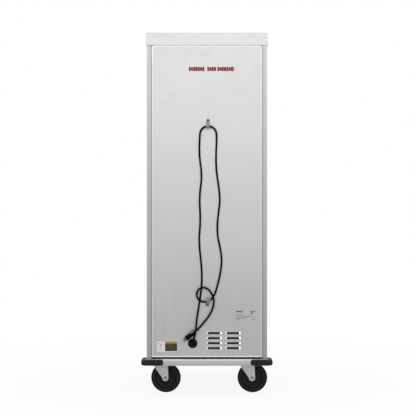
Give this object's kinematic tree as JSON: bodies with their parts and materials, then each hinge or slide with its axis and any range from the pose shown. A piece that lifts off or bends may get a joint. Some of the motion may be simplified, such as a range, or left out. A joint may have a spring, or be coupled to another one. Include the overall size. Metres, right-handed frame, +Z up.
{
  "type": "blanket warming cabinet",
  "caption": "Tall insulated steel cabinet on swivel casters, with a glazed hinged door, wire shelves, a heated blower bay and a mains cord wound on hooks at the back.",
  "frame": {"origin": "on the floor under the middle of the cabinet's bounding box", "axes": "+Z up, -Y out of the door, +Y out of the back with the mains cord, +X to the right of a person who faces the door"},
  "size_m": [0.666, 0.8241, 1.832],
  "materials": {
    "satin_steel": "satin",
    "liner_steel": "satin",
    "zinc_plate": "semi-bright",
    "chrome_wire": "polished",
    "cast_aluminium": "satin",
    "nickel_blade": "polished",
    "dark_enamel": "semi-gloss",
    "black_plastic": "matte",
    "black_rubber": "matte",
    "black_tread": "matte",
    "grey_seal": "matte",
    "amber_lens": "gloss",
    "clear_glass": "polished",
    "mineral_wool": "matte"
  },
  "bodies": {
    "cabinet": {"base_frame": "satin_steel", "rear_post_left": "satin_steel", "rear_post_right": "satin_steel", "top_cap": "satin_steel", "rear_panel": "satin_steel", "side_panel_left": "satin_steel", "side_panel_right": "satin_steel", "front_frame": "satin_steel", "liner_left": "liner_steel", "liner_right": "liner_steel", "liner_back": "liner_steel", "liner_top": "liner_steel", "liner_floor": "liner_steel", "insulation_boards": "mineral_wool", "shelf_pilasters": "liner_steel", "shelf_clips": "zinc_plate", "wire_shelf_1": "chrome_wire", "wire_shelf_2": "chrome_wire", "wire_shelf_3": "chrome_wire", "blower_housing": "zinc_plate", "blower_motor": "dark_enamel", "heating_element": "zinc_plate", "control_fascia": "satin_steel", "thermostat_body": "black_plastic", "thermostat_bulb": "zinc_plate", "switch_body": "black_plastic", "pilot_light": "amber_lens", "temperature_display": "black_plastic", "cord_gland": "black_plastic", "power_cord": "black_rubber", "plug_body": "black_rubber", "plug_blades": "nickel_blade", "hook_screws": "zinc_plate", "cord_hook_upper": "zinc_plate", "cord_hook_lower": "zinc_plate", "plug_hook": "zinc_plate", "frame_hinge_leaves": "zinc_plate", "catch_magnets": "black_plastic", "corner_bumpers": "black_rubber", "caster_plates": "zinc_plate"},
    "door": {"door_skin": "satin_steel", "door_panes": "clear_glass", "door_gasket": "grey_seal", "door_handle": "zinc_plate", "door_inner_panel": "liner_steel", "door_insulation": "mineral_wool", "door_hinge_leaves": "zinc_plate"},
    "blower_rotor": {"blower_wheel": "cast_aluminium"},
    "dial": {"thermostat_dial": "black_plastic"},
    "rocker": {"rocker_switch": "black_plastic"},
    "swivel_rear_right": {"caster_fork_rear_right": "zinc_plate"},
    "wheel_rear_right": {"caster_wheel_rear_right": "black_tread"},
    "swivel_rear_left": {"caster_fork_rear_left": "zinc_plate"},
    "wheel_rear_left": {"caster_wheel_rear_left": "black_tread"},
    "swivel_front_right": {"caster_fork_front_right": "zinc_plate"},
    "wheel_front_right": {"caster_wheel_front_right": "black_tread"},
    "swivel_front_left": {"caster_fork_front_left": "zinc_plate"},
    "wheel_front_left": {"caster_wheel_front_left": "black_tread"},
    "pedal_front_left": {"brake_pedal_front_left": "zinc_plate"},
    "pedal_front_right": {"brake_pedal_front_right": "zinc_plate"}
  },
  "joints": [
    {"name": "door_hinge", "type": "hinge", "parent": "cabinet", "child": "door", "pos_m": [0.31, -0.3225, 1.055], "axis": [0, 0, 1], "range_deg": [0, 180]},
    {"name": "rotor_spin", "type": "hinge", "parent": "cabinet", "child": "blower_rotor", "pos_m": [0, 0.19, 0.252], "axis": [0, 1, 0], "continuous": true},
    {"name": "dial_turn", "type": "hinge", "parent": "cabinet", "child": "dial", "pos_m": [0.19, -0.322, 0.262], "axis": [0, -1, 0], "range_deg": [0, 300]},
    {"name": "rocker_tip", "type": "hinge", "parent": "cabinet", "child": "rocker", "pos_m": [-0.215, -0.32, 0.262], "axis": [1, 0, 0], "range_deg": [-8, 8]},
    {"name": "swivel_rear_right_turn", "type": "hinge", "parent": "cabinet", "child": "swivel_rear_right", "pos_m": [0.2379, 0.306, 0.17], "axis": [0, 0, 1], "continuous": true},
    {"name": "wheel_rear_right_roll", "type": "hinge", "parent": "swivel_rear_right", "child": "wheel_rear_right", "pos_m": [0.21011, 0.30941, 0.0762], "axis": [0.1219, 0.9925, 0], "continuous": true},
    {"name": "swivel_rear_left_turn", "type": "hinge", "parent": "cabinet", "child": "swivel_rear_left", "pos_m": [-0.2053, 0.306, 0.17], "axis": [0, 0, 1], "continuous": true},
    {"name": "wheel_rear_left_roll", "type": "hinge", "parent": "swivel_rear_left", "child": "wheel_rear_left", "pos_m": [-0.23309, 0.30941, 0.0762], "axis": [0.1219, 0.9925, 0], "continuous": true},
    {"name": "swivel_front_right_turn", "type": "hinge", "parent": "cabinet", "child": "swivel_front_right", "pos_m": [0.2216, -0.246, 0.17], "axis": [0, 0, 1], "continuous": true},
    {"name": "wheel_front_right_roll", "type": "hinge", "parent": "swivel_front_right", "child": "wheel_front_right", "pos_m": [0.2216, -0.218, 0.0762], "axis": [1, 0, 0], "continuous": true},
    {"name": "swivel_front_left_turn", "type": "hinge", "parent": "cabinet", "child": "swivel_front_left", "pos_m": [-0.2216, -0.246, 0.17], "axis": [0, 0, 1], "continuous": true},
    {"name": "wheel_front_left_roll", "type": "hinge", "parent": "swivel_front_left", "child": "wheel_front_left", "pos_m": [-0.2216, -0.218, 0.0762], "axis": [1, 0, 0], "continuous": true},
    {"name": "pedal_front_left_press", "type": "hinge", "parent": "swivel_front_left", "child": "pedal_front_left", "pos_m": [-0.2216, -0.294, 0.128], "axis": [1, 0, 0], "range_deg": [0, 20]},
    {"name": "pedal_front_right_press", "type": "hinge", "parent": "swivel_front_right", "child": "pedal_front_right", "pos_m": [0.2216, -0.294, 0.128], "axis": [1, 0, 0], "range_deg": [0, 20]}
  ]
}
